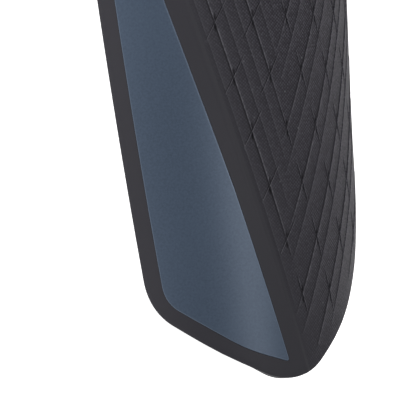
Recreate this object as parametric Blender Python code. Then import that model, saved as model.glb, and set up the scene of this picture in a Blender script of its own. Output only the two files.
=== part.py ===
"""Slip-in football shin guard: moulded shell, satin side panel and foam backing.

Metres, +Z up. The guard lies hollow side down on its two long edges, with the knee end
at +Y and the side panel on the -X wing. Every piece is drawn in the flat pattern of the
guard, s across the front and t up from the lower tip, and wrapped on the leg form.
"""
import math

import bmesh
import bpy
from mathutils.geometry import delaunay_2d_cdt

MM = 0.001

# Leg form: each section is one arc, and its radius grows from the ankle to the knee
LENGTH = 205 * MM
RADIUS_ANKLE = 49.5 * MM
RADIUS_KNEE = 67.5 * MM
FLARE_EASE = 0.49
WRAP_HALF_ANGLE = math.radians(60.5)

# Layers, measured inward from the outer face of the shell
SHELL_WALL = 2.2 * MM
FOAM_WALL = 4.0 * MM
LAYER_GAP = 0.3 * MM

# The right wing stands a little further out where it passes the ankle
SWELL_HEIGHT = 1.2 * MM
SWELL_PLACE = 62 * MM
SWELL_REACH = 26 * MM

# Outline of the guard: each lower edge rises from the tip, bends gently and rises steeper
LEFT_TIP_RISE = math.radians(27.9)
LEFT_EDGE_RISE = math.radians(34.1)
LEFT_BEND = 33.9 * MM
RIGHT_TIP_RISE = math.radians(39.0)
RIGHT_EDGE_RISE = math.radians(48.4)
RIGHT_BEND = 40.2 * MM
BEND_RADIUS = 150 * MM
TIP_OFFSET = 1.6 * MM
TIP_RADIUS = 24.0 * MM
LEFT_CORNER_RADIUS = 24.7 * MM
RIGHT_CORNER_RADIUS = 44 * MM
TOP_CORNER_RADIUS = 26 * MM
TOP_CROWN = 6 * MM

# Side panel in its pocket, a wedge with the same bends as the guard's edge
PANEL_SIDE_BORDER = 7.55 * MM
PANEL_TOP_BORDER = 8.0 * MM
PANEL_TIP_PLACE = -1.65 * MM
PANEL_TIP_HEIGHT = 6.1 * MM
PANEL_TIP_RISE = math.radians(19)
PANEL_EDGE_RISE = math.radians(33.9)
PANEL_BEND = 17.2 * MM
PANEL_LEAN = 0.269
PANEL_UPPER_LEAN = 0.296
PANEL_LEAN_CHANGE = 73 * MM
PANEL_CORNER_RADIUS = 13.8 * MM
PANEL_TOP_RADIUS = 14 * MM
PANEL_TIP_RADIUS = 0.8 * MM
POCKET_DEPTH = 1.0 * MM
POCKET_DRAFT = 0.25 * MM
PANEL_CLEARANCE = 0.3 * MM

# Moulded relief: rows of long teeth that meet in a V on the crest of the shin
BAND_START = 8.1 * MM
BAND_LEAN = 0.277
RELIEF_MARGIN = 5.0 * MM
RELIEF_DRAFT = 1.2 * MM
RELIEF_FADE = 6.0 * MM
CREASE_PITCH = 14.9 * MM
CREASE_LEAN = 0.272
COUNTER_LEAN = 0.44
FIRST_CREASE = 6.3 * MM
COUNTER_START = 7.2 * MM
CREST_LINE = 2.0 * MM
CREST_FADE = 7.0 * MM
CREST_LEVEL = 0.45
TOOTH_STEP = 0.7 * MM
MAIN_TOOTH = 0.5 * MM
MINOR_TOOTH = 0.3 * MM
RELIEF_BASE = 0.1 * MM
LEFT_TEETH = ((0.0, MAIN_TOOTH), (0.34, MINOR_TOOTH), (0.67, MINOR_TOOTH))
RIGHT_TEETH = ((0.0, MAIN_TOOTH), (0.38, MINOR_TOOTH))

# Mesh density
EDGE_STEP = 5.0 * MM
RIM_WIDTH = 4.5 * MM
LINE_STEP = 9.0 * MM
GRID_STEP = 9.0 * MM
GRID_MARGIN = 2.2 * MM
ARC_STEP = math.radians(9)
MERGE = 1e-6


def section_radius(t):
    """Outer radius of the section at height t above the lower tip."""
    share = t / LENGTH
    eased = share * (1 + FLARE_EASE * (1 - share))
    return RADIUS_ANKLE + (RADIUS_KNEE - RADIUS_ANKLE) * eased


def half_width(t):
    """Half of the flat pattern's width at height t."""
    return section_radius(t) * WRAP_HALF_ANGLE


def swell(s, t):
    """How far the right wing stands out of the plain leg form."""
    along = (t - SWELL_PLACE) / SWELL_REACH
    return SWELL_HEIGHT * (max(0, s) / half_width(t)) ** 2 * math.exp(-along * along)


def wrap(s, t, rise):
    """Place of a flat-pattern point, rise metres outside the shell's outer face."""
    radius = section_radius(t)
    floor = radius * math.cos(WRAP_HALF_ANGLE)
    layer = radius + rise + swell(s, t)
    angle = math.acos(floor / layer) * s / half_width(t)
    x = layer * math.sin(angle)
    z = layer * math.cos(angle) - floor
    return (x, t - LENGTH / 2, z)


def rounded(corners):
    """Closed outline through (s, t, radius) corners, each rounded by an arc."""
    outline = []
    count = len(corners)
    for index, (s, t, radius) in enumerate(corners):
        before = corners[index - 1]
        after = corners[(index + 1) % count]
        back = (before[0] - s, before[1] - t)
        ahead = (after[0] - s, after[1] - t)
        back_length = math.hypot(*back)
        ahead_length = math.hypot(*ahead)
        back = (back[0] / back_length, back[1] / back_length)
        ahead = (ahead[0] / ahead_length, ahead[1] / ahead_length)
        half = math.acos(max(-1, min(1, back[0] * ahead[0] + back[1] * ahead[1]))) / 2
        reach = min(radius / math.tan(half), 0.49 * min(back_length, ahead_length))
        if reach < MERGE:
            outline.append((s, t))
            continue
        radius = reach * math.tan(half)
        middle = (back[0] + ahead[0], back[1] + ahead[1])
        size = math.hypot(*middle)
        out = radius / math.sin(half) / size
        centre = (s + middle[0] * out, t + middle[1] * out)
        start = math.atan2(t + back[1] * reach - centre[1], s + back[0] * reach - centre[0])
        sweep = math.pi - 2 * half
        steps = max(1, math.ceil(sweep / ARC_STEP))
        for step in range(steps + 1):
            angle = start + sweep * step / steps
            outline.append((centre[0] + radius * math.cos(angle), centre[1] + radius * math.sin(angle)))
    return outline


def side_line(side, low, high, border):
    """Corners up or down one side edge, which follows the form's width."""
    count = max(2, math.ceil(abs(high - low) / EDGE_STEP) + 1)
    heights = [low + (high - low) * step / count for step in range(1, count)]
    return [(side * (half_width(t) - border), t, 0) for t in heights]


def crown_line(width):
    """Corners along the middle of the top edge, an arc that is highest on the crest."""
    radius = (width * width / TOP_CROWN + TOP_CROWN) / 2
    places = [width * share / 8 for share in (4, 2, 0, -2, -4)]
    return [(s, LENGTH - radius + math.sqrt(radius * radius - s * s), 0) for s in places]


def meet_side(side, border, s, t, slope):
    """Where a straight edge through (s, t), rising outward by slope, meets a side edge."""
    height = t
    for _ in range(30):
        height = t + slope * (half_width(height) - border - side * s)
    return height


def guard_outline():
    """Outline of the whole guard, anticlockwise from the lower tip."""
    half = (math.pi - LEFT_TIP_RISE - RIGHT_TIP_RISE) / 2
    tilt = (RIGHT_TIP_RISE - LEFT_TIP_RISE) / 2
    apex = TIP_RADIUS * (1 - math.cos(tilt) / math.sin(half))
    right_bend = (
        TIP_OFFSET + RIGHT_BEND * math.cos(RIGHT_TIP_RISE),
        apex + RIGHT_BEND * math.sin(RIGHT_TIP_RISE),
    )
    left_bend = (
        TIP_OFFSET - LEFT_BEND * math.cos(LEFT_TIP_RISE),
        apex + LEFT_BEND * math.sin(LEFT_TIP_RISE),
    )
    right = meet_side(1, 0, *right_bend, math.tan(RIGHT_EDGE_RISE))
    left = meet_side(-1, 0, *left_bend, math.tan(LEFT_EDGE_RISE))
    shoulder = LENGTH - TOP_CROWN
    corners = [(TIP_OFFSET, apex, TIP_RADIUS), (*right_bend, BEND_RADIUS)]
    corners.append((half_width(right), right, RIGHT_CORNER_RADIUS))
    corners += side_line(1, right + RIGHT_CORNER_RADIUS, shoulder - TOP_CORNER_RADIUS, 0)
    corners.append((half_width(shoulder), shoulder, TOP_CORNER_RADIUS))
    corners += crown_line(half_width(shoulder))
    corners.append((-half_width(shoulder), shoulder, TOP_CORNER_RADIUS))
    corners += side_line(-1, shoulder - TOP_CORNER_RADIUS, left + LEFT_CORNER_RADIUS, 0)
    corners.append((-half_width(left), left, LEFT_CORNER_RADIUS))
    corners.append((*left_bend, BEND_RADIUS))
    return rounded(corners)


def panel_outline():
    """Outline of the side panel's pocket, a wedge that narrows towards the knee."""
    bend_s = PANEL_TIP_PLACE - PANEL_BEND * math.cos(PANEL_TIP_RISE)
    bend_t = PANEL_TIP_HEIGHT + PANEL_BEND * math.sin(PANEL_TIP_RISE)
    left = meet_side(-1, PANEL_SIDE_BORDER, bend_s, bend_t, math.tan(PANEL_EDGE_RISE))
    top = LENGTH - TOP_CROWN - PANEL_TOP_BORDER
    turn_s = PANEL_TIP_PLACE - PANEL_LEAN * (PANEL_LEAN_CHANGE - PANEL_TIP_HEIGHT)
    corners = [(PANEL_TIP_PLACE, PANEL_TIP_HEIGHT, PANEL_TIP_RADIUS)]
    corners.append((turn_s, PANEL_LEAN_CHANGE, BEND_RADIUS))
    corners.append((turn_s - PANEL_UPPER_LEAN * (top - PANEL_LEAN_CHANGE), top, PANEL_TIP_RADIUS))
    corners.append((PANEL_SIDE_BORDER - half_width(top), top, PANEL_TOP_RADIUS))
    corners += side_line(-1, top - PANEL_TOP_RADIUS, left + PANEL_CORNER_RADIUS, PANEL_SIDE_BORDER)
    corners.append((PANEL_SIDE_BORDER - half_width(left), left, PANEL_CORNER_RADIUS))
    corners.append((bend_s, bend_t, BEND_RADIUS))
    return rounded(corners)


def edges_of(outline):
    return zip(outline, outline[1:] + outline[:1])


def between(first, second, share):
    """Point that lies this share of the way from the first to the second."""
    return tuple(a + (b - a) * share for a, b in zip(first, second))


def keep_side(outline, normal, level):
    """Part of a convex outline where normal . point is at least level."""
    kept = []
    for first, second in edges_of(outline):
        a = first[0] * normal[0] + first[1] * normal[1] - level
        b = second[0] * normal[0] + second[1] * normal[1] - level
        if a >= 0:
            kept.append(first)
        if a * b < 0:
            kept.append(between(first, second, a / (a - b)))
    return tidy(kept)


def tidy(outline):
    """Outline without points that lie on top of each other."""
    return [b for a, b in zip(outline[-1:] + outline[:-1], outline) if math.dist(a, b) > 20 * MERGE]


def inset(outline, distance):
    """Convex outline moved inward by distance: each edge cuts the rest back."""
    result = outline
    for first, second in edges_of(outline):
        along = (second[0] - first[0], second[1] - first[1])
        size = math.hypot(*along)
        normal = (-along[1] / size, along[0] / size)
        level = first[0] * normal[0] + first[1] * normal[1] + distance
        result = keep_side(result, normal, level)
    return result


def chord(outline, lean, level):
    """Ends of the line s + lean * t = level inside a convex outline, or None."""
    ends = []
    for first, second in edges_of(outline):
        a = first[0] + lean * first[1] - level
        b = second[0] + lean * second[1] - level
        if a * b < 0:
            ends.append(between(first, second, a / (a - b)))
    if len(ends) == 2 and math.dist(*ends) > TOOTH_STEP:
        return ends
    return None


def divided(ends, step):
    """Points along a straight line, no further apart than step."""
    count = max(1, math.ceil(math.dist(*ends) / step))
    (s0, t0), (s1, t1) = ends
    return [(s0 + (s1 - s0) * n / count, t0 + (t1 - t0) * n / count) for n in range(count + 1)]


def resampled(outline, step):
    points = []
    for ends in edges_of(outline):
        points += divided(ends, step)[:-1]
    return points


def relief_outline():
    """Zone of the moulded relief, inside its plain border and beside the smooth band."""
    zone = inset(guard_outline(), RELIEF_MARGIN)
    return keep_side(zone, (1, BAND_LEAN), BAND_START)


def tooth_profile(share, teeth):
    """Height across one pitch: each tooth steps up at its foot and falls to the next one."""
    step = TOOTH_STEP / CREASE_PITCH
    starts = [start for start, _ in teeth] + [1 + teeth[0][0]]
    heights = [height for _, height in teeth] + [teeth[0][1]]
    for index in range(len(teeth)):
        foot = starts[index + 1] - step
        if share < foot:
            fall = (share - starts[index]) / (foot - starts[index])
            return heights[index] * (1 - fall)
    return heights[-1] * (share - foot) / step


def relief_height(s, t):
    """Height of the relief over the smooth shell."""
    across = (s + CREASE_LEAN * t - BAND_START - FIRST_CREASE) / CREASE_PITCH
    counter = (s - COUNTER_LEAN * t - COUNTER_START) / CREASE_PITCH
    left = tooth_profile(across % 1, LEFT_TEETH)
    right = tooth_profile(counter % 1, RIGHT_TEETH)
    side = min(1, max(0, (s - CREST_LINE) / TOOTH_STEP + 0.5))
    away = min(1, abs(s - CREST_LINE) / CREST_FADE)
    level = CREST_LEVEL + (1 - CREST_LEVEL) * away
    return RELIEF_BASE + level * (left + (right - left) * side)


def crease_lines(zone):
    """Foot and top line of every tooth on both sides of the crest."""
    lines = []
    sides = (
        (-1, CREASE_LEAN, BAND_START + FIRST_CREASE, LEFT_TEETH),
        (1, -COUNTER_LEAN, COUNTER_START, RIGHT_TEETH),
    )
    reach = math.ceil((LENGTH + half_width(LENGTH)) / CREASE_PITCH)
    for side, lean, start, teeth in sides:
        half = keep_side(zone, (side, 0), side * CREST_LINE)
        for pitch in range(-reach, reach):
            for place, _ in teeth:
                top = start + (pitch + place) * CREASE_PITCH
                for level in (top - TOOTH_STEP, top):
                    ends = chord(half, lean, level)
                    if ends:
                        lines.append(divided(ends, LINE_STEP))
    lines.append(divided(chord(zone, 0, CREST_LINE), LINE_STEP))
    return lines


def edge_distance(outline, point):
    """Distance inward from the nearest edge of a convex outline, negative outside."""
    nearest = math.inf
    for first, second in edges_of(outline):
        along = (second[0] - first[0], second[1] - first[1])
        size = math.hypot(*along)
        if size > MERGE:
            cross = along[0] * (point[1] - first[1]) - along[1] * (point[0] - first[0])
            nearest = min(nearest, cross / size)
    return nearest


def grid_points(outline, hollows):
    """Staggered points inside an outline, clear of its edge and of the hollows' edges."""
    points = []
    width = half_width(LENGTH)
    rows = math.ceil(LENGTH / GRID_STEP)
    columns = math.ceil(width / GRID_STEP)
    for row in range(rows + 1):
        for column in range(-columns, columns + 1):
            point = ((column + 0.5 * (row % 2)) * GRID_STEP, row * GRID_STEP)
            clear = edge_distance(outline, point) > GRID_MARGIN
            for hollow, solid in hollows:
                depth = edge_distance(hollow, point)
                clear = clear and abs(depth) > GRID_MARGIN and not (solid and depth > 0)
            if clear:
                points.append(point)
    return points


def sheet(name, outline, inner, outer, loops=(), lines=(), points=()):
    """Closed sheet: a flat mesh wrapped at height inner and extruded to height outer."""
    flat = list(outline)
    edges = [(n, (n + 1) % len(flat)) for n in range(len(flat))]
    for loop in loops:
        first = len(flat)
        flat += loop
        edges += [(first + n, first + (n + 1) % len(loop)) for n in range(len(loop))]
    for line in lines:
        first = len(flat)
        flat += line
        edges += [(first + n, first + n + 1) for n in range(len(line) - 1)]
    flat += points
    border = list(range(len(outline)))
    places, _, faces, *_ = delaunay_2d_cdt(flat, edges, [border], 1, MERGE)

    shape = bmesh.new()
    across = shape.verts.layers.float.new("s")
    along = shape.verts.layers.float.new("t")
    for s, t in places:
        vertex = shape.verts.new(wrap(s, t, inner(s, t)))
        vertex[across] = s
        vertex[along] = t
    shape.verts.ensure_lookup_table()
    for face in faces:
        shape.faces.new([shape.verts[n] for n in face])
    raised = bmesh.ops.extrude_face_region(shape, geom=shape.faces[:])["geom"]
    for vertex in raised:
        if isinstance(vertex, bmesh.types.BMVert):
            s, t = vertex[across], vertex[along]
            vertex.co = wrap(s, t, outer(s, t))
    bmesh.ops.recalc_face_normals(shape, faces=shape.faces[:])
    mesh = bpy.data.meshes.new(name)
    shape.to_mesh(mesh)
    shape.free()
    part = bpy.data.objects.new(name, mesh)
    guard.objects.link(part)
    mesh.shade_smooth()
    mesh.set_sharp_from_angle(angle=math.radians(25))
    return part


def finish(part, colour, roughness, coat=0.0):
    """Give a piece its own plastic or foam."""
    material = bpy.data.materials.new(part.name)
    material.use_nodes = True
    surface = material.node_tree.nodes["Principled BSDF"]
    surface.inputs["Base Color"].default_value = (*colour, 1)
    surface.inputs["Roughness"].default_value = roughness
    surface.inputs["Metallic"].default_value = 0.0
    surface.inputs["Coat Weight"].default_value = coat
    part.data.materials.append(material)


def make_shell():
    """Moulded plate with the panel's pocket and the raised relief."""
    outline = resampled(guard_outline(), EDGE_STEP)
    pocket = resampled(panel_outline(), EDGE_STEP)
    rim = resampled(inset(panel_outline(), -POCKET_DRAFT), EDGE_STEP)
    foot = resampled(relief_outline(), EDGE_STEP)
    top = resampled(inset(relief_outline(), RELIEF_DRAFT), EDGE_STEP)

    def outer(s, t):
        if edge_distance(pocket, (s, t)) > -MERGE * 10:
            return -POCKET_DEPTH
        depth = edge_distance(foot, (s, t))
        if depth > RELIEF_DRAFT - MERGE * 10:
            return relief_height(s, t) * min(1, depth / RELIEF_FADE)
        return 0.0

    points = grid_points(outline, ((pocket, False), (foot, True)))
    loops = (rim, pocket, foot, top)
    lines = crease_lines(top)
    shell = sheet("shell", outline, lambda s, t: -SHELL_WALL, outer, loops, lines, points)
    finish(shell, (0.044, 0.043, 0.050), 0.5)


def make_side_panel():
    """Thin satin inlay, level with the shell around it."""
    outline = resampled(inset(panel_outline(), PANEL_CLEARANCE), EDGE_STEP)
    back = PANEL_CLEARANCE - POCKET_DEPTH
    points = grid_points(outline, ())
    panel = sheet("side_panel", outline, lambda s, t: back, lambda s, t: 0.0, (), (), points)
    finish(panel, (0.063, 0.088, 0.120), 0.35, 0.3)


def make_foam_backing():
    """Foam behind the shell, cut to the same outline."""
    outline = resampled(guard_outline(), EDGE_STEP)
    front = -SHELL_WALL - LAYER_GAP
    back = front - FOAM_WALL
    rim = resampled(inset(outline, RIM_WIDTH), EDGE_STEP)
    points = grid_points(rim, ())
    foam = sheet("foam_backing", outline, lambda s, t: back, lambda s, t: front, (rim,), (), points)
    finish(foam, (0.016, 0.016, 0.018), 0.9)


for thing in list(bpy.data.objects):
    bpy.data.objects.remove(thing, do_unlink=True)

guard = bpy.data.collections.new("shin_guard")
bpy.context.scene.collection.children.link(guard)

make_shell()
make_side_panel()
make_foam_backing()
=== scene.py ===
"""Looks of the slip-in football shin guard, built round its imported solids.

Metres, +Z out of the front of the shin, +Y to the knee end. Each piece is drawn in the flat
pattern of the guard, s across the front and t up from the lower tip, and wrapped on the leg form.
"""
import math

import bmesh
import bpy
import numpy as np
from mathutils import Matrix, Vector
from mathutils.geometry import delaunay_2d_cdt


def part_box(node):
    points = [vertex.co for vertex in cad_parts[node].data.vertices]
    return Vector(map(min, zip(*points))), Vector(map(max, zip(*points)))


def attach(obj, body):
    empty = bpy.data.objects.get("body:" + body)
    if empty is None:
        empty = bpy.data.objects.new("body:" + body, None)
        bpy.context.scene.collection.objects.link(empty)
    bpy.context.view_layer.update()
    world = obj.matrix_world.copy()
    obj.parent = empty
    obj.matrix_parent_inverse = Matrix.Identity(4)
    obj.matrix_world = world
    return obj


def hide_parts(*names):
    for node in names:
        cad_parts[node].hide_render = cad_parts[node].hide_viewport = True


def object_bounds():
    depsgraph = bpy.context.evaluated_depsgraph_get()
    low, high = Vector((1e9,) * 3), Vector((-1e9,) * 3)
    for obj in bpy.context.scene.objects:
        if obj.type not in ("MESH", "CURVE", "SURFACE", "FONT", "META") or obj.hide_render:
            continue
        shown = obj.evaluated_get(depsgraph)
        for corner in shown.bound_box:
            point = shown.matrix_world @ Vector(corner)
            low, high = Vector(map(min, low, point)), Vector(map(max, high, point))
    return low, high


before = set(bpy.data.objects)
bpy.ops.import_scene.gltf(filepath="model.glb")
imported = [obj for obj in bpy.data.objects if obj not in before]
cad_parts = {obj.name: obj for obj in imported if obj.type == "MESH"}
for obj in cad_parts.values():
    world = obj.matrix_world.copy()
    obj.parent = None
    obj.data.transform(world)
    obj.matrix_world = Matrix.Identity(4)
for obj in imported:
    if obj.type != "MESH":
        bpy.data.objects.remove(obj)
cad_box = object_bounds()

# The shell: one plate of polypropylene, injection moulded and bowed to the shin. The mould gives it
# a smooth border, a pocket for the side panel, and a knurled front crossed by long shingled creases.
MM = 0.001
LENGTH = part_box("foam_backing")[1].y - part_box("foam_backing")[0].y
RADIUS_ANKLE = 49.5 * MM
RADIUS_KNEE = 67.5 * MM
FLARE_EASE = 0.49
WRAP_HALF_ANGLE = math.radians(60.5)
SHELL_WALL = 2.2 * MM
SWELL_HEIGHT = 1.2 * MM
SWELL_PLACE = 62 * MM
SWELL_REACH = 26 * MM

# Outline of the guard in the flat pattern
LEFT_TIP_RISE = math.radians(27.9)
LEFT_EDGE_RISE = math.radians(34.1)
LEFT_BEND = 33.9 * MM
RIGHT_TIP_RISE = math.radians(39.0)
RIGHT_EDGE_RISE = math.radians(48.4)
RIGHT_BEND = 40.2 * MM
BEND_RADIUS = 150 * MM
TIP_OFFSET = 1.6 * MM
TIP_RADIUS = 24.0 * MM
LEFT_CORNER_RADIUS = 24.7 * MM
RIGHT_CORNER_RADIUS = 44 * MM
TOP_CORNER_RADIUS = 26 * MM
TOP_CROWN = 6 * MM
CROWN_POINTS = 9

# Steps and tolerances of the meshes
ARC_STEP = math.radians(4)
ARC_EDGE_SHARE = 0.49
OUTLINE_STEP = 2.0 * MM
MEETING_ROUNDS = 30
MERGE = 1e-6
SHORTEST_EDGE = 20 * MERGE
SHORTEST_CHORD = 1.0 * MM
ROW_SHARE = 0.87


def section_radius(t):
    """Outer radius of the leg form's section at height t above the lower tip."""
    share = t / LENGTH
    return RADIUS_ANKLE + (RADIUS_KNEE - RADIUS_ANKLE) * share * (1 + FLARE_EASE * (1 - share))


def half_width(t):
    """Half of the flat pattern's width at height t, measured round the section."""
    return section_radius(t) * WRAP_HALF_ANGLE


def swell(s, t):
    """How far the right wing stands out of the plain leg form, where it passes the ankle."""
    along = (t - SWELL_PLACE) / SWELL_REACH
    return SWELL_HEIGHT * (np.maximum(0, s) / half_width(t)) ** 2 * np.exp(-along * along)


def wrap(s, t, rise):
    """Places of flat-pattern points, rise metres outside the shell's outer face."""
    radius = section_radius(t)
    floor = radius * math.cos(WRAP_HALF_ANGLE)
    layer = radius + rise + swell(s, t)
    angle = np.arccos(floor / layer) * s / half_width(t)
    return np.stack([layer * np.sin(angle), t - LENGTH / 2, layer * np.cos(angle) - floor], axis=-1)


def rounded(corners):
    """Closed outline through (s, t, radius) corners, each rounded by an arc."""
    outline = []
    for index, (s, t, radius) in enumerate(corners):
        here = np.array((s, t))
        back = np.array(corners[index - 1][:2]) - here
        ahead = np.array(corners[(index + 1) % len(corners)][:2]) - here
        shortest = min(np.linalg.norm(back), np.linalg.norm(ahead))
        back = back / np.linalg.norm(back)
        ahead = ahead / np.linalg.norm(ahead)
        half = math.acos(np.clip(back @ ahead, -1, 1)) / 2
        reach = min(radius / math.tan(half), ARC_EDGE_SHARE * shortest)
        if reach < MERGE:
            outline.append((s, t))
            continue
        radius = reach * math.tan(half)
        middle = (back + ahead) / np.linalg.norm(back + ahead)
        centre = here + middle * radius / math.sin(half)
        first = here + back * reach - centre
        start = math.atan2(first[1], first[0])
        sweep = math.pi - 2 * half
        steps = max(1, math.ceil(sweep / ARC_STEP))
        for angle in start + sweep * np.arange(steps + 1) / steps:
            along, up = math.cos(angle), math.sin(angle)
            outline.append((centre[0] + radius * along, centre[1] + radius * up))
    return outline


def side_line(side, low, high, border):
    """Corners along one long edge, which follows the leg form's width."""
    count = max(2, math.ceil(abs(high - low) / OUTLINE_STEP))
    heights = low + (high - low) * np.arange(1, count) / count
    return [(side * (half_width(t) - border), t, 0) for t in heights]


def crown_line(width):
    """Corners along the middle of the top edge, an arc that is highest on the crest."""
    radius = (width * width / TOP_CROWN + TOP_CROWN) / 2
    places = width * np.linspace(0.5, -0.5, CROWN_POINTS)
    return [(s, LENGTH - radius + math.sqrt(radius * radius - s * s), 0) for s in places]


def meet_side(side, border, s, t, slope):
    """Height where a straight edge through (s, t), rising outward by slope, meets a long edge."""
    height = t
    for _ in range(MEETING_ROUNDS):
        height = t + slope * (half_width(height) - border - side * s)
    return height


def guard_outline():
    """Outline of the guard, anticlockwise from the lower tip; each lower edge bends gently."""
    half = (math.pi - LEFT_TIP_RISE - RIGHT_TIP_RISE) / 2
    tilt = (RIGHT_TIP_RISE - LEFT_TIP_RISE) / 2
    apex = TIP_RADIUS * (1 - math.cos(tilt) / math.sin(half))
    right_bend = (
        TIP_OFFSET + RIGHT_BEND * math.cos(RIGHT_TIP_RISE),
        apex + RIGHT_BEND * math.sin(RIGHT_TIP_RISE),
    )
    left_bend = (
        TIP_OFFSET - LEFT_BEND * math.cos(LEFT_TIP_RISE),
        apex + LEFT_BEND * math.sin(LEFT_TIP_RISE),
    )
    right = meet_side(1, 0, *right_bend, math.tan(RIGHT_EDGE_RISE))
    left = meet_side(-1, 0, *left_bend, math.tan(LEFT_EDGE_RISE))
    shoulder = LENGTH - TOP_CROWN
    corners = [(TIP_OFFSET, apex, TIP_RADIUS), (*right_bend, BEND_RADIUS)]
    corners.append((half_width(right), right, RIGHT_CORNER_RADIUS))
    corners += side_line(1, right + RIGHT_CORNER_RADIUS, shoulder - TOP_CORNER_RADIUS, 0)
    corners.append((half_width(shoulder), shoulder, TOP_CORNER_RADIUS))
    corners += crown_line(half_width(shoulder))
    corners.append((-half_width(shoulder), shoulder, TOP_CORNER_RADIUS))
    corners += side_line(-1, shoulder - TOP_CORNER_RADIUS, left + LEFT_CORNER_RADIUS, 0)
    corners.append((-half_width(left), left, LEFT_CORNER_RADIUS))
    corners.append((*left_bend, BEND_RADIUS))
    return rounded(corners)


def edges_of(outline):
    """Pairs of neighbouring points all round an outline."""
    return zip(outline, outline[1:] + outline[:1])


def between(first, second, share):
    """Point part of the way from one point to another."""
    return tuple(p + (q - p) * share for p, q in zip(first, second))


def keep_side(outline, normal, level):
    """Part of a convex outline where normal . point is at least level."""
    kept = []
    for first, second in edges_of(outline):
        a = first[0] * normal[0] + first[1] * normal[1] - level
        b = second[0] * normal[0] + second[1] * normal[1] - level
        if a >= 0:
            kept.append(first)
        if a * b < 0:
            kept.append(between(first, second, a / (a - b)))
    return [b for a, b in zip(kept[-1:] + kept[:-1], kept) if math.dist(a, b) > SHORTEST_EDGE]


def inset(outline, distance):
    """Convex outline moved inward: each of its edges cuts the rest back."""
    result = outline
    for first, second in edges_of(outline):
        size = math.dist(first, second)
        normal = ((first[1] - second[1]) / size, (second[0] - first[0]) / size)
        level = first[0] * normal[0] + first[1] * normal[1] + distance
        result = keep_side(result, normal, level)
    return result


def outset(outline, distance):
    """Convex outline moved outward along the mean normal of the edges at each point."""
    moved = []
    for index, here in enumerate(outline):
        before = outline[index - 1]
        after = outline[(index + 1) % len(outline)]
        out = Vector((after[1] - before[1], before[0] - after[0])).normalized()
        moved.append((here[0] + out.x * distance, here[1] + out.y * distance))
    return moved


def depth_inside(outline, s, t):
    """Distance inward from the nearest edge of a convex outline, negative outside it."""
    nearest = np.full(np.shape(s), math.inf)
    for first, second in edges_of(outline):
        size = math.dist(first, second)
        cross = (second[0] - first[0]) * (t - first[1]) - (second[1] - first[1]) * (s - first[0])
        nearest = np.minimum(nearest, cross / size)
    return nearest


def divided(ends, step):
    """Points along a straight line, no further apart than step."""
    count = max(1, math.ceil(math.dist(*ends) / step))
    (s0, t0), (s1, t1) = ends
    return [(s0 + (s1 - s0) * n / count, t0 + (t1 - t0) * n / count) for n in range(count + 1)]


def resampled(outline, step=OUTLINE_STEP):
    """Closed outline with its long edges divided."""
    points = []
    for ends in edges_of(outline):
        points += divided(ends, step)[:-1]
    return points


def chord(outline, lean, level):
    """Ends of the line s + lean * t = level inside a convex outline, or None."""
    ends = []
    for first, second in edges_of(outline):
        a = first[0] + lean * first[1] - level
        b = second[0] + lean * second[1] - level
        if a * b < 0:
            ends.append(between(first, second, a / (a - b)))
    if len(ends) == 2 and math.dist(*ends) > SHORTEST_CHORD:
        return ends
    return None


def grid_points(outline, step, margin, skip=()):
    """Staggered points inside an outline, outside the skipped ones and clear of every edge."""
    rows = np.arange(0, LENGTH, step * ROW_SHARE)
    columns = np.arange(-half_width(LENGTH), half_width(LENGTH), step)
    s = np.concatenate([columns + step / 2 * (row % 2) for row in range(len(rows))])
    t = np.repeat(rows, len(columns))
    clear = depth_inside(outline, s, t) > margin
    for area in skip:
        clear &= depth_inside(area, s, t) < -margin
    return list(zip(s[clear], t[clear]))


def sheet(name, outline, inner, outer, loops=(), lines=(), points=(), sharp=12):
    """Closed sheet: a flat mesh wrapped at height inner and extruded to height outer.

    The flat mesh follows the loops, lines and points. Edges over sharp degrees shade as creases.
    """
    flat = list(outline)
    edges = [(n, (n + 1) % len(flat)) for n in range(len(flat))]
    for path, closed in [(loop, True) for loop in loops] + [(line, False) for line in lines]:
        first = len(flat)
        flat += path
        edges += [(first + n, first + n + 1) for n in range(len(path) - 1)]
        if closed:
            edges.append((first + len(path) - 1, first))
    flat += points
    border = list(range(len(outline)))
    flat = [(float(s), float(t)) for s, t in flat]
    places, _, faces, *_ = delaunay_2d_cdt(flat, edges, [border], 1, MERGE)
    s, t = np.array(places).T

    shape = bmesh.new()
    number = shape.verts.layers.int.new("number")
    for index, place in enumerate(wrap(s, t, inner(s, t))):
        shape.verts.new(place)[number] = index
    shape.verts.ensure_lookup_table()
    for face in faces:
        shape.faces.new([shape.verts[n] for n in face])
    front = wrap(s, t, outer(s, t))
    raised = bmesh.ops.extrude_face_region(shape, geom=shape.faces[:])["geom"]
    for vertex in raised:
        if isinstance(vertex, bmesh.types.BMVert):
            vertex.co = front[vertex[number]]
    bmesh.ops.recalc_face_normals(shape, faces=shape.faces[:])
    if shape.calc_volume(signed=True) < 0:
        bmesh.ops.reverse_faces(shape, faces=shape.faces[:])
    pattern = shape.loops.layers.uv.new("flat_pattern")
    for face in shape.faces:
        for corner in face.loops:
            index = corner.vert[number]
            corner[pattern].uv = (s[index] / MM, t[index] / MM)
    shape.verts.layers.int.remove(number)
    mesh = bpy.data.meshes.new(name)
    shape.to_mesh(mesh)
    shape.free()
    mesh.shade_smooth()
    mesh.set_sharp_from_angle(angle=math.radians(sharp))
    piece = bpy.data.objects.new(name, mesh)
    bpy.context.scene.collection.objects.link(piece)
    return piece


def rounding(depth, radius):
    """How far a rounded edge falls back at a distance inward from the edge."""
    away = np.clip(radius - depth, 0, radius)
    return radius - np.sqrt(radius * radius - away * away)


def rim(outline, radius, shares):
    """Loops inside an outline that carry its rounded edge."""
    return [resampled(inset(outline, radius * share)) for share in shares]


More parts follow.
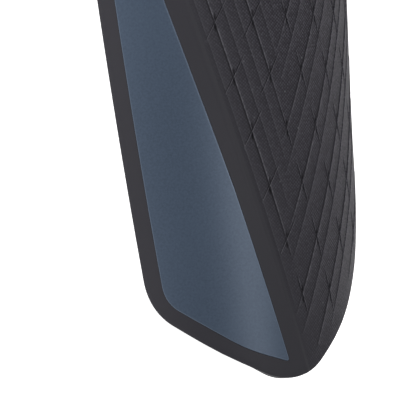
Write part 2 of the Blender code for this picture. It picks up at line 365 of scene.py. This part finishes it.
# Pocket for the panel
PANEL_SIDE_BORDER = 7.55 * MM
PANEL_TOP_BORDER = 8.0 * MM
PANEL_TIP_PLACE = -1.65 * MM
PANEL_TIP_HEIGHT = 6.1 * MM
PANEL_TIP_RISE = math.radians(19)
PANEL_EDGE_RISE = math.radians(33.9)
PANEL_BEND = 17.2 * MM
PANEL_LEAN = 0.269
PANEL_UPPER_LEAN = 0.296
PANEL_LEAN_CHANGE = 73 * MM
PANEL_CORNER_RADIUS = 13.8 * MM
PANEL_TOP_RADIUS = 14 * MM
PANEL_TIP_RADIUS = 0.8 * MM
POCKET_DEPTH = 1.0 * MM
POCKET_DRAFT = 0.06 * MM


def panel_outline():
    """Outline of the panel's pocket, a wedge that narrows towards the knee."""
    bend_s = PANEL_TIP_PLACE - PANEL_BEND * math.cos(PANEL_TIP_RISE)
    bend_t = PANEL_TIP_HEIGHT + PANEL_BEND * math.sin(PANEL_TIP_RISE)
    left = meet_side(-1, PANEL_SIDE_BORDER, bend_s, bend_t, math.tan(PANEL_EDGE_RISE))
    top = LENGTH - TOP_CROWN - PANEL_TOP_BORDER
    turn_s = PANEL_TIP_PLACE - PANEL_LEAN * (PANEL_LEAN_CHANGE - PANEL_TIP_HEIGHT)
    corners = [(PANEL_TIP_PLACE, PANEL_TIP_HEIGHT, PANEL_TIP_RADIUS)]
    corners.append((turn_s, PANEL_LEAN_CHANGE, BEND_RADIUS))
    corners.append((turn_s - PANEL_UPPER_LEAN * (top - PANEL_LEAN_CHANGE), top, PANEL_TIP_RADIUS))
    corners.append((PANEL_SIDE_BORDER - half_width(top), top, PANEL_TOP_RADIUS))
    corners += side_line(-1, top - PANEL_TOP_RADIUS, left + PANEL_CORNER_RADIUS, PANEL_SIDE_BORDER)
    corners.append((PANEL_SIDE_BORDER - half_width(left), left, PANEL_CORNER_RADIUS))
    corners.append((bend_s, bend_t, BEND_RADIUS))
    return rounded(corners)


# Creases of the knurled front
BAND_START = 8.1 * MM
BAND_LEAN = 0.277
BAND_BEAD = 0.16 * MM
BAND_BEAD_WIDTH = 3.0 * MM
BAND_BEAD_LINES = 9
KNURL_START = 3.5 * MM
RELIEF_MARGIN = 5.0 * MM
RELIEF_DRAFT = 1.2 * MM
RELIEF_FADE = 6.0 * MM
RELIEF_BORDER_LEVEL = 0.45
CREASE_PITCH = 14.9 * MM
CREASES_EACH_WAY = math.ceil((LENGTH + half_width(LENGTH)) / CREASE_PITCH)
CREASE_LEAN = 0.272
COUNTER_LEAN = 0.44
FIRST_CREASE = 6.3 * MM
COUNTER_START = 7.2 * MM
CREST_LINE = 2.0 * MM
CREST_FADE = 7.0 * MM
CREST_LEVEL = 0.45
TOOTH_STEP = 0.35 * MM
TOOTH_EDGE = 0.45 * MM
TOOTH_GROOVE = 0.6 * MM
TOOTH_SHOULDER = 0.75
TOOTH_TOE = 0.15
# Painted highlight on each tooth's shoulder, and as much painted shade at its toe
SLOPE_PAINTED_LIGHT = 0.11
RELIEF_BASE = 0.12 * MM
# Teeth of each pitch: where each starts, its height, and the painted highlight on its edge
LEFT_TEETH = ((0.0, 0.42 * MM, 1.0), (0.34, 0.2 * MM, 0.4), (0.67, 0.2 * MM, 0.4))
RIGHT_TEETH = ((0.0, 0.36 * MM, 0.9), (0.38, 0.25 * MM, 0.5))
TICK_REACH = 8.5 * MM
TICK_FADE = 3
TICK_SIDES = (-0.6 * MM, -0.25 * MM, 0.0, 0.35 * MM)
LEFT_TICK_LEAN = 0.6
# Ticks at the crossings: heights across each tick, then its painted shade (-1) and painted highlight
# (+1)
LEFT_TICK = ((0, -0.15 * MM, 0.22 * MM, 0), (0, -1.0, 1.0, 0))
RIGHT_TICK = ((0, -0.2 * MM, 0.15 * MM, 0), (0, -1.0, 0.8, 0))
NOTCH_PLACE = 1.9 * MM
NOTCH_WIDTH = 0.8 * MM
NOTCH_LENGTH = 2.2 * MM
NOTCH_DEPTH = 0.4 * MM
# Painted shade in the notches at the crossings
NOTCH_PAINTED_SHADE = 2.5
CREASE_STEP = 3.0 * MM


def tooth_profile(across, teeth):
    """Height and painted light across one pitch: a step up to an edge with a painted highlight, then
    a slow fall to a groove in painted shade.
    """
    places = []
    heights = []
    painted_light = []
    for index, (start, height, painted_highlight) in enumerate(teeth):
        following = teeth[(index + 1) % len(teeth)]
        end = (following[0] if index + 1 < len(teeth) else 1) * CREASE_PITCH - TOOTH_STEP
        start = start * CREASE_PITCH
        places += [start, start + TOOTH_EDGE, end - TOOTH_GROOVE, end]
        heights += [height, height * TOOTH_SHOULDER, height * TOOTH_TOE, 0]
        painted_light += [painted_highlight, SLOPE_PAINTED_LIGHT, -SLOPE_PAINTED_LIGHT, -following[2]]
    places.append(CREASE_PITCH)
    height = np.interp(across, places, heights + heights[:1])
    return height, np.interp(across, places, painted_light + painted_light[:1])


def crossings():
    """Nodes where a crease of one family crosses one of the other."""
    found = []
    for m in range(-CREASES_EACH_WAY, CREASES_EACH_WAY):
        for n in range(-CREASES_EACH_WAY, CREASES_EACH_WAY):
            across = BAND_START + FIRST_CREASE + m * CREASE_PITCH
            counter = COUNTER_START + n * CREASE_PITCH
            t = (across - counter) / (CREASE_LEAN + COUNTER_LEAN)
            s = across - CREASE_LEAN * t
            if depth_inside(relief_top, s, t) > NOTCH_LENGTH:
                found.append((s, t))
    return found


def relief(s, t):
    """Height of the creased front over the smooth shell, and painted light: 1 for a painted highlight
    on edges, -1 for painted shade in grooves.
    """
    across = s + CREASE_LEAN * t - BAND_START - FIRST_CREASE
    left, left_painted_light = tooth_profile(across % CREASE_PITCH, LEFT_TEETH)
    counter = s - COUNTER_LEAN * t - COUNTER_START
    right, right_painted_light = tooth_profile(counter % CREASE_PITCH, RIGHT_TEETH)
    side = np.clip((s - CREST_LINE) / TOOTH_STEP + 0.5, 0, 1)
    away = np.clip(abs(s - CREST_LINE) / CREST_FADE, 0, 1)
    level = CREST_LEVEL + (1 - CREST_LEVEL) * away
    height = RELIEF_BASE + level * (left + (right - left) * side)
    painted_light = level * (left_painted_light + (right_painted_light - left_painted_light) * side)
    for node_s, node_t in crossings():
        lean, tick = (-CREASE_LEAN, RIGHT_TICK)
        if node_s < CREST_LINE:
            lean, tick = (LEFT_TICK_LEAN, LEFT_TICK)
        ends = np.clip(TICK_FADE - TICK_FADE * abs(t - node_t) / TICK_REACH, 0, 1)
        offset = s - node_s - lean * (t - node_t)
        height = height + ends * np.interp(offset, TICK_SIDES, tick[0])
        painted_light = painted_light + ends * np.interp(offset, TICK_SIDES, tick[1])
        for way in (-1, 1):
            up = abs(t - node_t - way * NOTCH_PLACE) / NOTCH_LENGTH
            notch = np.clip(1 - up - abs(s - node_s) / NOTCH_WIDTH, 0, 1)
            height = height - NOTCH_DEPTH * notch
            painted_light = painted_light - np.clip(NOTCH_PAINTED_SHADE * notch, 0, 1)
    return height, np.clip(painted_light, -1, 1)


def crease_lines():
    """Mesh lines: every tooth's groove, foot, top and bevel, the crossing ticks and the notches."""
    lines = []
    left = keep_side(relief_top, (-1, 0), -CREST_LINE)
    right = keep_side(relief_top, (1, 0), CREST_LINE)
    families = (
        (left, CREASE_LEAN, BAND_START + FIRST_CREASE, LEFT_TEETH),
        (right, -COUNTER_LEAN, COUNTER_START, RIGHT_TEETH),
    )
    for half, lean, start, teeth in families:
        for pitch in range(-CREASES_EACH_WAY, CREASES_EACH_WAY):
            for place, *_ in teeth:
                top = start + (pitch + place) * CREASE_PITCH
                for offset in (-TOOTH_STEP - TOOTH_GROOVE, -TOOTH_STEP, 0, TOOTH_EDGE):
                    ends = chord(half, lean, top + offset)
                    if ends:
                        lines.append(divided(ends, CREASE_STEP))
    lines.append(divided(chord(relief_top, 0, CREST_LINE), CREASE_STEP))
    for s, t in crossings():
        lean = LEFT_TICK_LEAN if s < CREST_LINE else -CREASE_LEAN
        for offset in TICK_SIDES:
            ends = [(s + offset + lean * end, t + end) for end in (-TICK_REACH, TICK_REACH)]
            line = [p for p in divided(ends, CREASE_STEP / 2) if depth_inside(relief_top, *p) > 0]
            if len(line) > 1:
                lines.append(line)
        for way in (-1, 1):
            middle = t + way * NOTCH_PLACE
            low = (s, middle - NOTCH_LENGTH)
            high = (s, middle + NOTCH_LENGTH)
            for out in (-1, 1, 0):
                lines.append([low, (s + out * NOTCH_WIDTH, middle), high])
    return lines


# The shell's own faces and mesh
SHELL_EDGE_RADIUS = 0.7 * MM
SHELL_BACK_RADIUS = 0.4 * MM
SMOOTH_STEP = 3.2 * MM
SMOOTH_MARGIN = 1.2 * MM
PANEL_MARGIN = 1.0 * MM
POCKET_SLACK = 10 * MERGE

shell_outline = resampled(guard_outline())
pocket = resampled(panel_outline())
pocket_rim = resampled(outset(panel_outline(), POCKET_DRAFT))
relief_foot = keep_side(inset(guard_outline(), RELIEF_MARGIN), (1, BAND_LEAN), BAND_START)
relief_top = inset(relief_foot, RELIEF_DRAFT)


def relief_strength(s, t):
    """Share of the relief's height that stands at a place: it fades out towards its borders."""
    depth = depth_inside(relief_foot, s, t)
    draft = np.clip(depth / RELIEF_DRAFT, 0, 1)
    return draft * np.clip(depth / RELIEF_FADE, RELIEF_BORDER_LEVEL, 1)


def shell_front(s, t):
    """Height of the shell's outer face."""
    across = np.clip((BAND_START - s - BAND_LEAN * t) / BAND_BEAD_WIDTH, 0, 1)
    rise = BAND_BEAD * (1 - np.cos(across * 2 * math.pi)) / 2
    rise = rise + relief_strength(s, t) * relief(s, t)[0]
    rise = np.where(depth_inside(pocket, s, t) > -POCKET_SLACK, -POCKET_DEPTH, rise)
    return rise - rounding(depth_inside(shell_outline, s, t), SHELL_EDGE_RADIUS)


def shell_back(s, t):
    """Height of the shell's hollow face."""
    return rounding(depth_inside(shell_outline, s, t), SHELL_BACK_RADIUS) - SHELL_WALL


shell_loops = rim(shell_outline, SHELL_EDGE_RADIUS, (0.08, 0.3, 0.6, 1.0))
band_lines = []
for place in [-KNURL_START, -KNURL_START / 2, *BAND_BEAD_WIDTH * np.linspace(0, 1, BAND_BEAD_LINES)]:
    ends = chord(shell_outline, BAND_LEAN, BAND_START - place)
    band_lines.append(divided(ends, CREASE_STEP))
fine_areas = [pocket_rim, resampled(relief_foot)]
smooth_points = grid_points(shell_loops[-1], SMOOTH_STEP, SMOOTH_MARGIN, fine_areas)
smooth_points += grid_points(pocket, SMOOTH_STEP, PANEL_MARGIN)
moulded_shell = sheet(
    "moulded_shell",
    shell_outline,
    shell_back,
    shell_front,
    [*shell_loops, pocket, *fine_areas, resampled(relief_top)],
    crease_lines() + band_lines,
    smooth_points,
)


def linear(colour):
    """Linear RGBA of an sRGB hex colour."""
    channels = [int(colour[place:place + 2], 16) / 255 for place in (1, 3, 5)]
    return [c / 12.92 if c <= 0.04045 else ((c + 0.055) / 1.055) ** 2.4 for c in channels] + [1]


def add(tree, kind, inputs=None, **settings):
    """Adds a node with its settings, and its inputs as values or links."""
    made = tree.nodes.new(kind)
    for name, value in settings.items():
        setattr(made, name, value)
    for place, value in (inputs or {}).items():
        if isinstance(value, bpy.types.NodeSocket):
            tree.links.new(value, made.inputs[place])
        else:
            made.inputs[place].default_value = value
    return made


def new_material(name):
    """New material with an empty node tree."""
    material = bpy.data.materials.new(name)
    material.use_nodes = True
    material.node_tree.nodes.clear()
    return material, material.node_tree


# Spark-eroded polypropylene: a fine satin grain off the mould, so a soft, even, almost black surface.
# The real grain is about 0.1 mm. It is drawn at about one pixel, so that it shows.
GRAIN_SIZE = 0.45 * MM
GRAIN_HEIGHT = 0.03 * MM
MOULDING_CLOUD = 35 * MM
smooth_plastic, tree = new_material("spark_eroded_polypropylene")
place = add(tree, "ShaderNodeTexCoord")
grain = add(tree, "ShaderNodeTexNoise", {
    "Vector": place.outputs["Object"],
    "Scale": 1 / GRAIN_SIZE,
    "Detail": 3.0,
})
drift = add(tree, "ShaderNodeTexNoise", {
    "Vector": place.outputs["Object"],
    "Scale": 1 / MOULDING_CLOUD,
    "Detail": 2.0,
})
tone = add(tree, "ShaderNodeMixRGB", {
    "Fac": drift.outputs["Fac"],
    1: linear("#2e2d33"),
    2: linear("#323137"),
})
bump = add(tree, "ShaderNodeBump", {
    "Height": grain.outputs["Fac"],
    "Strength": 0.6,
    "Distance": GRAIN_HEIGHT,
})
surface = add(tree, "ShaderNodeBsdfPrincipled", {
    "Base Color": tone.outputs[0],
    "Roughness": 0.6,
    "IOR": 1.49,
    "Specular IOR Level": 0.3,
    "Normal": bump.outputs["Normal"],
})
add(tree, "ShaderNodeOutputMaterial", {"Surface": surface.outputs["BSDF"]})

# Knurled polypropylene: the same plastic off a cross-cut mould, with rows of tiny studs in random
# dark tones, with painted glints, painted shade between the studs and in the grooves, and painted
# highlights on the edges of the creases.
# The real studs are about 0.6 mm apart. They are drawn coarser, so that they show. The pattern's
# coordinates are in millimetres, and so are its sizes.
KNURL_PITCH = 0.95
KNURL_SCATTER = 0.25
KNURL_TURN = math.radians(45)
KNURL_HEIGHT = 0.18 * MM
# Share of the studs that carry a painted glint
KNURL_PAINTED_GLINTS = 0.001
knurled_plastic, tree = new_material("knurled_polypropylene")
flat = add(tree, "ShaderNodeUVMap", uv_map="flat_pattern")
diagonal = add(tree, "ShaderNodeMapping", {
    "Vector": flat.outputs["UV"],
    "Rotation": (0, 0, KNURL_TURN),
})
studs = add(tree, "ShaderNodeTexVoronoi", {
    "Vector": diagonal.outputs["Vector"],
    "Scale": 1 / KNURL_PITCH,
    "Randomness": KNURL_SCATTER,
}, voronoi_dimensions="2D")

# Each stud's own tone, a rare painted glint, and painted shade in the valleys between the studs
chance = add(tree, "ShaderNodeSeparateColor", {"Color": studs.outputs["Color"]})
tone = add(tree, "ShaderNodeMixRGB", {
    "Fac": chance.outputs[0],
    1: linear("#3b3940"),
    2: linear("#524f58"),
})
# Painted glint: a few studs turned pale, as if they caught the light
painted_glint = add(tree, "ShaderNodeMath", {
    0: chance.outputs[2],
    1: 1 - KNURL_PAINTED_GLINTS,
}, operation="GREATER_THAN")
with_painted_glints = add(tree, "ShaderNodeMixRGB", {
    "Fac": painted_glint.outputs[0],
    1: tone.outputs[0],
    2: linear("#69696f"),
})
# Painted shade in the valleys: darker with distance from each stud's middle
valley_shade = add(tree, "ShaderNodeMapRange", {
    "Value": studs.outputs["Distance"],
    "From Min": 0.2,
    "From Max": 0.6,
})
valley_shaded = add(tree, "ShaderNodeMixRGB", {
    "Fac": valley_shade.outputs[0],
    1: with_painted_glints.outputs[0],
    2: linear("#1e1c22"),
})
full = add(tree, "ShaderNodeAttribute", attribute_name="knurl")
begun = add(tree, "ShaderNodeMixRGB", {
    "Fac": full.outputs["Fac"],
    1: linear("#333238"),
    2: valley_shaded.outputs[0],
})

# Painted highlights on the edges of the creases, patchy from stud to stud, and painted shade in their
# grooves and notches
painted_light = add(tree, "ShaderNodeAttribute", attribute_name="painted_light")
patchy = add(tree, "ShaderNodeMapRange", {
    "Value": chance.outputs[1],
    "To Min": 0.2,
    "To Max": 0.72,
})
painted_highlight = add(tree, "ShaderNodeMath", {
    0: painted_light.outputs["Fac"],
    1: patchy.outputs[0],
}, operation="MULTIPLY", use_clamp=True)
edge_highlighted = add(tree, "ShaderNodeMixRGB", {
    "Fac": painted_highlight.outputs[0],
    1: begun.outputs[0],
    2: linear("#77767d"),
})
# Painted shade: the grooves and notches go nearly black
groove_shade = add(tree, "ShaderNodeMapRange", {
    "Value": painted_light.outputs["Fac"],
    "From Max": -1.0,
    "To Max": 0.92,
})
shaded = add(tree, "ShaderNodeMixRGB", {
    "Fac": groove_shade.outputs[0],
    1: edge_highlighted.outputs[0],
    2: linear("#0f0e12"),
})
bump = add(tree, "ShaderNodeBump", {
    "Height": studs.outputs["Distance"],
    "Strength": 1.0,
    "Distance": KNURL_HEIGHT,
}, invert=True)
surface = add(tree, "ShaderNodeBsdfPrincipled", {
    "Base Color": shaded.outputs[0],
    "Roughness": 0.7,
    "IOR": 1.49,
    "Specular IOR Level": 0.25,
    "Normal": bump.outputs["Normal"],
})
add(tree, "ShaderNodeOutputMaterial", {"Surface": surface.outputs["BSDF"]})

# The knurled plastic goes on the outward faces beyond the band
moulded_shell.data.materials.append(smooth_plastic)
moulded_shell.data.materials.append(knurled_plastic)
pattern = moulded_shell.data.uv_layers["flat_pattern"].uv
for face in moulded_shell.data.polygons:
    middle = np.mean([pattern[n].vector for n in face.loop_indices], axis=0) * MM
    facing = face.normal.dot(Vector((math.sin(middle[0] / section_radius(middle[1])), 0, 1)))
    if middle[0] + BAND_LEAN * middle[1] > BAND_START and facing > 0:
        face.material_index = 1

# Painted highlights and painted shade of the creases, and a knurl whose contrast grows across the
# front:
# the far wing is seen at a slant, where an even knurl would blend to one tone
PAINTED_LIGHT_GAIN = 1.4
KNURL_DEEP = 50 * MM
KNURL_FIRST = 0.3


def mark(piece, name, value_at):
    """Keep a value on each vertex, by its place in the flat pattern."""
    mesh = piece.data
    places = np.zeros((len(mesh.vertices), 2))
    for corner, point in zip(mesh.loops, mesh.uv_layers["flat_pattern"].uv):
        places[corner.vertex_index] = point.vector
    kept = mesh.attributes.new(name, "FLOAT", "POINT")
    kept.data.foreach_set("value", value_at(*places.T * MM))


def shell_painted_light(s, t):
    """Painted highlights and painted shade of the relief, which ease off at its borders."""
    return np.clip(PAINTED_LIGHT_GAIN * relief_strength(s, t), 0, 1) * relief(s, t)[1]


def knurl_depth(s, t):
    """How strongly the studs show, from none at the band to full on the right wing."""
    across = s + BAND_LEAN * t - BAND_START
    return np.interp(across, (0, KNURL_START, KNURL_DEEP), (0, KNURL_FIRST, 1))


# Painted highlights on the creases' edges and painted shade in their grooves and notches, kept on
# each vertex
mark(moulded_shell, "painted_light", shell_painted_light)
mark(moulded_shell, "knurl", knurl_depth)
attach(moulded_shell, "root")
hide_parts("shell")

# The side panel: a thin inlay of satin blue-grey plastic, pressed into the pocket of the wing
# and glued there. Its edge is rounded over, and a fine painted highlight follows it.
PANEL_CLEARANCE = 0.3 * MM
PANEL_GAP = 0.04 * MM
PANEL_PROUD = 0.05 * MM
PANEL_EDGE_RADIUS = 0.2 * MM
# Width and strength of the painted highlight along the inlay's edge
PANEL_HIGHLIGHT_WIDTH = 0.5 * MM
PANEL_HIGHLIGHT_PEAK = 1.2
inlay_outline = resampled(inset(panel_outline(), PANEL_GAP))
inlay_loops = rim(inlay_outline, PANEL_EDGE_RADIUS, (0.1, 0.35, 0.65, 1.0))
inlay_loops.append(resampled(inset(inlay_outline, PANEL_HIGHLIGHT_WIDTH)))


def inlay_front(s, t):
    """Height of the inlay's outer face, a little proud of the shell."""
    return PANEL_PROUD - rounding(depth_inside(inlay_outline, s, t), PANEL_EDGE_RADIUS)


def inlay_back(s, t):
    """Height of the inlay's glued face, level over the pocket's floor."""
    return np.full(np.shape(s), PANEL_CLEARANCE - POCKET_DEPTH)


def inlay_painted_highlight(s, t):
    """Painted highlight: a pale line along the inlay's edge, where the lacquer would catch the light.
    """
    depth = depth_inside(inlay_outline, s, t)
    return np.clip(PANEL_HIGHLIGHT_PEAK - PANEL_HIGHLIGHT_PEAK * depth / PANEL_HIGHLIGHT_WIDTH, 0, 1)


satin_inlay = sheet(
    "satin_inlay",
    inlay_outline,
    inlay_back,
    inlay_front,
    inlay_loops,
    points=grid_points(inlay_loops[-1], SMOOTH_STEP, PANEL_MARGIN),
)

# Satin metallic lacquer on ABS: fine flakes under a satin coat, so it lightens softly where it turns.
# The real flakes are under 0.1 mm. They are drawn as clusters of about two pixels, so that they show.
FLAKE_SIZE = 0.8 * MM
FLAKE_HEIGHT = 0.015 * MM
FLAKE_SHARE = 0.75
LACQUER_CLOUD = 60 * MM
lacquer, tree = new_material("satin_metallic_lacquer")
place = add(tree, "ShaderNodeTexCoord")
flakes = add(tree, "ShaderNodeTexNoise", {
    "Vector": place.outputs["Object"],
    "Scale": 1 / FLAKE_SIZE,
    "Detail": 3.0,
})
drift = add(tree, "ShaderNodeTexNoise", {
    "Vector": place.outputs["Object"],
    "Scale": 1 / LACQUER_CLOUD,
    "Detail": 1.0,
})
mixed = add(tree, "ShaderNodeMixRGB", {
    "Fac": FLAKE_SHARE,
    1: drift.outputs["Fac"],
    2: flakes.outputs["Fac"],
})
tone = add(tree, "ShaderNodeMixRGB", {
    "Fac": mixed.outputs[0],
    1: linear("#323f50"),
    2: linear("#4f5f74"),
})
# Painted highlight: a pale line along the inlay's edge
painted_light = add(tree, "ShaderNodeAttribute", attribute_name="painted_light")
edge_highlighted = add(tree, "ShaderNodeMixRGB", {
    "Fac": painted_light.outputs["Fac"],
    1: tone.outputs[0],
    2: linear("#627083"),
})
bump = add(tree, "ShaderNodeBump", {
    "Height": flakes.outputs["Fac"],
    "Strength": 0.5,
    "Distance": FLAKE_HEIGHT,
})
surface = add(tree, "ShaderNodeBsdfPrincipled", {
    "Base Color": edge_highlighted.outputs[0],
    "Metallic": 0.35,
    "Roughness": 0.47,
    "IOR": 1.5,
    "Coat Weight": 0.2,
    "Coat Roughness": 0.35,
    "Normal": bump.outputs["Normal"],
})
add(tree, "ShaderNodeOutputMaterial", {"Surface": surface.outputs["BSDF"]})
satin_inlay.data.materials.append(lacquer)
# Painted highlight along the inlay's edge, kept on each vertex
mark(satin_inlay, "painted_light", inlay_painted_highlight)
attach(satin_inlay, "root")
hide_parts("side_panel")

# The backing: a sheet of EVA foam, die cut to the shell's outline, formed to the shin and
# glued behind it. Its cut edge shows below the shell's, and the guard lies on both.
LAYER_GAP = 0.3 * MM
FOAM_WALL = 4.0 * MM
FOAM_EDGE_RADIUS = 0.5 * MM
FOAM_BACK_RADIUS = 1.2 * MM
foam_outline = resampled(guard_outline())
foam_loops = rim(foam_outline, FOAM_BACK_RADIUS, (0.1, 0.4, 0.7, 1.0))


def foam_front(s, t):
    """Height of the foam's glued face, just behind the shell."""
    return -SHELL_WALL - LAYER_GAP - rounding(depth_inside(foam_outline, s, t), FOAM_EDGE_RADIUS)


def foam_back(s, t):
    """Height of the foam's face towards the leg."""
    fall = rounding(depth_inside(foam_outline, s, t), FOAM_BACK_RADIUS)
    return fall - SHELL_WALL - LAYER_GAP - FOAM_WALL


eva_backing = sheet(
    "eva_backing",
    foam_outline,
    foam_back,
    foam_front,
    foam_loops,
    points=grid_points(foam_loops[-1], SMOOTH_STEP, SMOOTH_MARGIN),
    sharp=40,
)

# EVA foam: closed cells cut open at the skin, matt and slightly mottled, nearly black.
# The real cells are about 0.3 mm. They are drawn at about two pixels, so that they show.
CELL_SIZE = 0.7 * MM
CELL_DEPTH = 0.12 * MM
FOAM_MOTTLE = 6 * MM
foam, tree = new_material("closed_cell_eva")
place = add(tree, "ShaderNodeTexCoord")
cells = add(tree, "ShaderNodeTexVoronoi", {
    "Vector": place.outputs["Object"],
    "Scale": 1 / CELL_SIZE,
})
cloud = add(tree, "ShaderNodeTexNoise", {
    "Vector": place.outputs["Object"],
    "Scale": 1 / FOAM_MOTTLE,
    "Detail": 4.0,
})
tone = add(tree, "ShaderNodeMixRGB", {
    "Fac": cloud.outputs["Fac"],
    1: linear("#1d1d1f"),
    2: linear("#29292c"),
})
bump = add(tree, "ShaderNodeBump", {
    "Height": cells.outputs["Distance"],
    "Strength": 0.7,
    "Distance": CELL_DEPTH,
})
surface = add(tree, "ShaderNodeBsdfPrincipled", {
    "Base Color": tone.outputs[0],
    "Roughness": 0.9,
    "IOR": 1.48,
    "Specular IOR Level": 0.25,
    "Normal": bump.outputs["Normal"],
})
add(tree, "ShaderNodeOutputMaterial", {"Surface": surface.outputs["BSDF"]})
eva_backing.data.materials.append(foam)
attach(eva_backing, "root")
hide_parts("foam_backing")

# The studio: a plain white table under an even white room, with a softbox overhead, one low on the
# left for the border's bright line, and a large far one on the right for the far wing.
FLOOR_SIZE = 6.0
bpy.ops.mesh.primitive_plane_add(size=FLOOR_SIZE, location=(0, 0, cad_box[0][2]))
floor = bpy.context.active_object
floor.name = "floor"
white_table, tree = new_material("white_table")
surface = add(tree, "ShaderNodeBsdfPrincipled", {
    "Base Color": linear("#f8f8f8"),
    "Roughness": 0.9,
    "Specular IOR Level": 0.1,
    "Emission Color": linear("#ffffff"),
    "Emission Strength": 1.0,
})
add(tree, "ShaderNodeOutputMaterial", {"Surface": surface.outputs["BSDF"]})
floor.data.materials.append(white_table)

# Room light, stronger from the sides than from above
SKY_SIDES = 0.55
SKY_TOP = 0.12
world = bpy.data.worlds.new("studio")
bpy.context.scene.world = world
world.use_nodes = True
tree = world.node_tree
tree.nodes.clear()
place = add(tree, "ShaderNodeTexCoord")
axes = add(tree, "ShaderNodeSeparateXYZ", {"Vector": place.outputs["Generated"]})
sky = add(tree, "ShaderNodeMapRange", {
    "Value": axes.outputs["Z"],
    "To Min": SKY_SIDES,
    "To Max": SKY_TOP,
})
air = add(tree, "ShaderNodeBackground", {"Color": linear("#ffffff"), "Strength": sky.outputs[0]})
add(tree, "ShaderNodeOutputWorld", {"Surface": air.outputs[0]})


def softbox(name, place, width, length, power):
    """Rectangular light in metres and watts, looking at the middle of the guard."""
    lamp = bpy.data.lights.new(name, "AREA")
    lamp.shape = "RECTANGLE"
    lamp.size = width
    lamp.size_y = length
    lamp.energy = power
    light = bpy.data.objects.new(name, lamp)
    light.location = place
    light.rotation_euler = Vector(place).to_track_quat("Z", "Y").to_euler()
    light.visible_camera = False
    bpy.context.scene.collection.objects.link(light)


softbox("softbox_overhead", (-0.04, -0.02, 0.7), 0.45, 0.3, 1.7)
softbox("softbox_left", (-0.3, 0.32, 0.2), 0.25, 0.25, 0.72)
softbox("softbox_right", (1.8, 0.0, 1.0), 1.0, 1.6, 5)

# The camera: a long lens over the left wing, rolled a little so that the guard leans as in the
# photograph, and aimed low, so that the frame cuts the guard's upper third.
VIEW_TURN = math.radians(32)
VIEW_ROLL = math.radians(5.51)
PIXELS_PER_MM = 2.66
IMAGE_WIDTH = 400
AIM_ACROSS = -15.8 * MM
AIM_UP = 69.9 * MM
AIM_FORWARD = 25 * MM
CAMERA_DISTANCE = 4.0
SENSOR = 36.0
back = Vector((-math.sin(VIEW_TURN), 0, math.cos(VIEW_TURN)))
across = Vector((math.cos(VIEW_TURN), 0, math.sin(VIEW_TURN)))
along = Vector((0, 1, 0))
right = across * math.cos(VIEW_ROLL) - along * math.sin(VIEW_ROLL)
up = along * math.cos(VIEW_ROLL) + across * math.sin(VIEW_ROLL)
aim = across * AIM_ACROSS + along * (AIM_UP - LENGTH / 2) + back * AIM_FORWARD
lens = bpy.data.cameras.new("camera")
lens.sensor_width = SENSOR
lens.lens = SENSOR * CAMERA_DISTANCE * PIXELS_PER_MM / (IMAGE_WIDTH * MM)
camera = bpy.data.objects.new("camera", lens)
axes = Matrix((right, up, back)).transposed().to_4x4()
camera.matrix_world = Matrix.Translation(aim + back * CAMERA_DISTANCE) @ axes
bpy.context.scene.collection.objects.link(camera)
bpy.context.scene.camera = camera
bpy.context.scene.view_settings.view_transform = "Standard"
